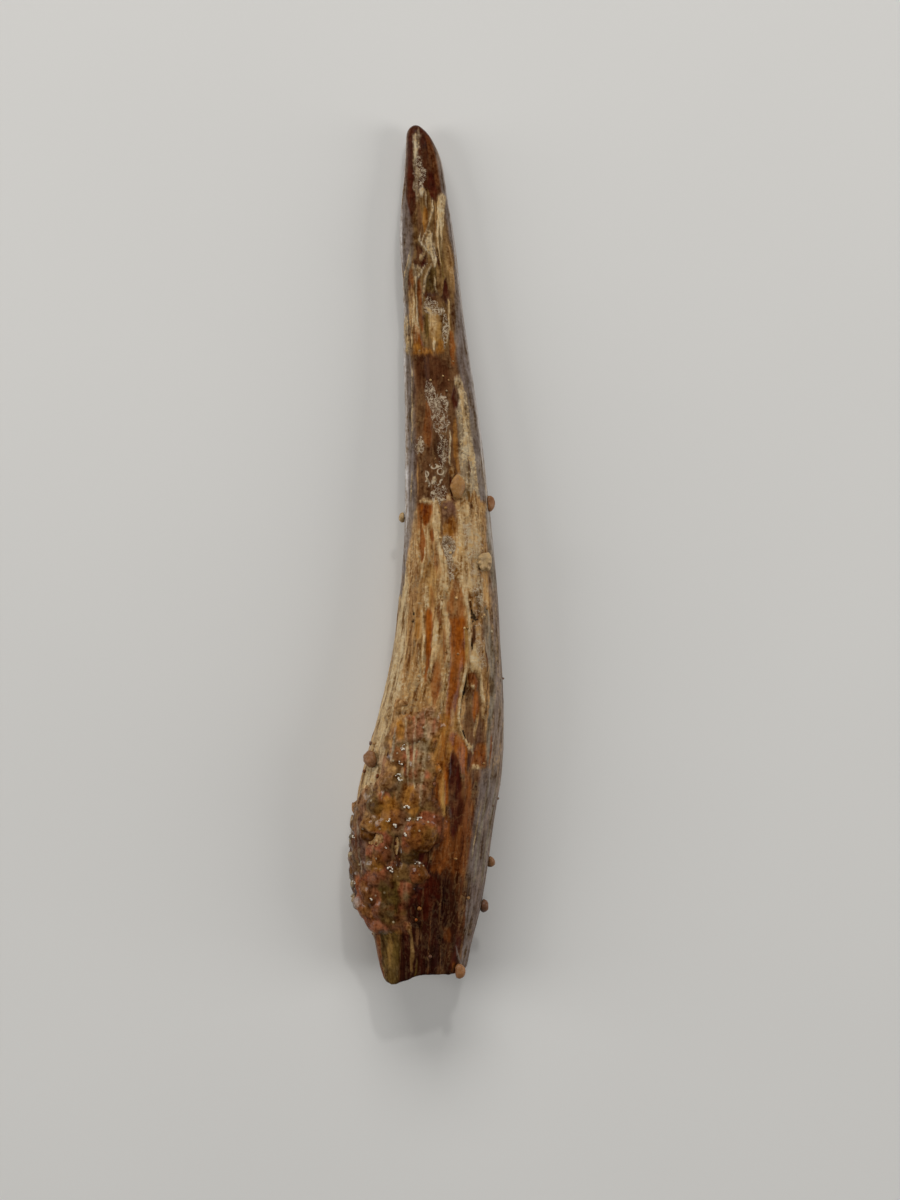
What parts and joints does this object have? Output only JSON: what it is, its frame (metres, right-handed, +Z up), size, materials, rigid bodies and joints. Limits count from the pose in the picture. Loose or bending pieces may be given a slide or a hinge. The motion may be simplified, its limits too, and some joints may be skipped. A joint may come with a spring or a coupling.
{
  "type": "fossil pterosaur tooth",
  "caption": "Slender, slightly S-curved fossil pterosaur tooth lying on its side, with a worn tip, fluted crown, flared broken root and a crust of cemented sand.",
  "frame": {"origin": "on the surface the tooth lies on, under the middle of its overall box", "axes": "+Y along the tooth towards its tip, +X towards the right of the upper face, +Z up from the surface it lies on"},
  "size_m": [0.0092, 0.05, 0.0062],
  "materials": {
    "tooth": "satin to glossy fossil enamel and dentine, dark red-brown with tan, amber and chalky patches",
    "crust": "glossy cemented sand, amber to olive",
    "grain": "worn translucent quartz grain with a pinkish tan skin"
  },
  "bodies": {
    "root": {"tooth": "tooth", "sand_crust": "crust", "oval_sand_grain": "grain", "cupped_sand_grain": "grain", "right_crown_sand_grain": "grain", "left_crown_sand_grain": "grain", "left_root_sand_grain": "grain", "right_root_sand_grain": "grain", "lower_right_sand_grain": "grain", "root_end_sand_grain": "grain"}
  },
  "joints": []
}
